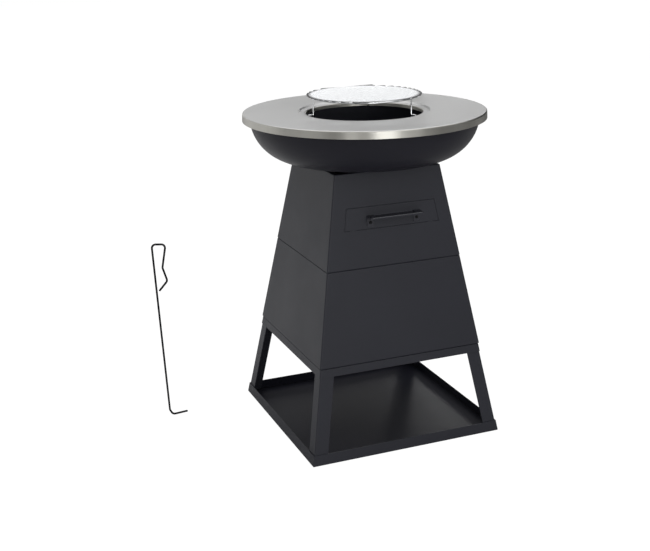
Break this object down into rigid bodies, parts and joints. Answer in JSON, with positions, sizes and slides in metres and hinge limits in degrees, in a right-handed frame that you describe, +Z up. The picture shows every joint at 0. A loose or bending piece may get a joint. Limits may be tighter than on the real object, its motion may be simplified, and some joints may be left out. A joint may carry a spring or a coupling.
{
  "type": "charcoal grill",
  "caption": "Charcoal fire bowl with a round griddle plate and raised cooking grate, on a tapered square pedestal with an ash drawer and open log store, with a poker.",
  "frame": {"origin": "centre of the base tray's underside, on the floor", "axes": "+Z up; the drawer faces -Y; +X to the right of someone who faces the drawer"},
  "size_m": [0.9472, 0.7, 0.9838],
  "materials": {
    "black_paint": "matt heat-proof black paint, fine texture",
    "bowl_paint": "satin black paint",
    "stainless_steel": "brushed stainless steel",
    "chrome": "bright chrome-plated wire",
    "raw_iron": "uncoated steel, darkened by heat",
    "zinc": "zinc plating"
  },
  "bodies": {
    "pedestal": {"base_tray": "black_paint", "leg_front_left": "black_paint", "leg_front_right": "black_paint", "leg_rear_left": "black_paint", "leg_rear_right": "black_paint", "stand_frame": "black_paint", "lower_body": "black_paint", "upper_body": "black_paint", "runner_left": "zinc", "runner_right": "zinc", "fire_bowl": "bowl_paint", "stand_bolt_1": "zinc", "stand_bolt_2": "zinc", "stand_bolt_3": "zinc", "stand_bolt_4": "zinc", "stand_nut_1": "zinc", "stand_nut_2": "zinc", "stand_nut_3": "zinc", "stand_nut_4": "zinc", "seam_bolt_1": "zinc", "seam_bolt_2": "zinc", "seam_bolt_3": "zinc", "seam_bolt_4": "zinc", "seam_nut_1": "zinc", "seam_nut_2": "zinc", "seam_nut_3": "zinc", "seam_nut_4": "zinc", "bowl_bolt_1": "zinc", "bowl_bolt_2": "zinc", "bowl_bolt_3": "zinc", "bowl_bolt_4": "zinc", "bowl_nut_1": "zinc", "bowl_nut_2": "zinc", "bowl_nut_3": "zinc", "bowl_nut_4": "zinc"},
    "ash_drawer": {"drawer_front": "black_paint", "ash_drawer_pan": "black_paint", "handle": "black_paint", "handle_screw_left": "zinc", "handle_screw_right": "zinc", "handle_nut_left": "zinc", "handle_nut_right": "zinc"},
    "charcoal_grate": {"charcoal_grate": "raw_iron"},
    "griddle": {"griddle_plate": "stainless_steel", "plate_lug_1": "stainless_steel", "plate_lug_2": "stainless_steel", "plate_lug_3": "stainless_steel"},
    "cooking_grate": {"grate_wire": "chrome", "grate_ring": "chrome", "grate_cross_left": "chrome", "grate_cross_right": "chrome", "grate_leg_1": "chrome", "grate_leg_2": "chrome", "grate_leg_3": "chrome"},
    "poker": {"poker": "black_paint"}
  },
  "joints": [
    {"name": "ash_drawer_slide", "type": "slide", "parent": "pedestal", "child": "ash_drawer", "axis": [0, -1, 0], "range_m": [0, 0.26]},
    {"name": "charcoal_grate_lift", "type": "slide", "parent": "pedestal", "child": "charcoal_grate", "axis": [0, 0, 1], "range_m": [0, 0.11]},
    {"name": "griddle_plate_lift", "type": "slide", "parent": "pedestal", "child": "griddle", "axis": [0, 0, 1], "range_m": [0, 0.12]},
    {"name": "cooking_grate_lift", "type": "slide", "parent": "griddle", "child": "cooking_grate", "axis": [0, 0, 1], "range_m": [0, 0.12]},
    {"name": "poker_lift", "type": "slide", "parent": "pedestal", "child": "poker", "axis": [0, 0, 1], "range_m": [0, 0.3]}
  ]
}
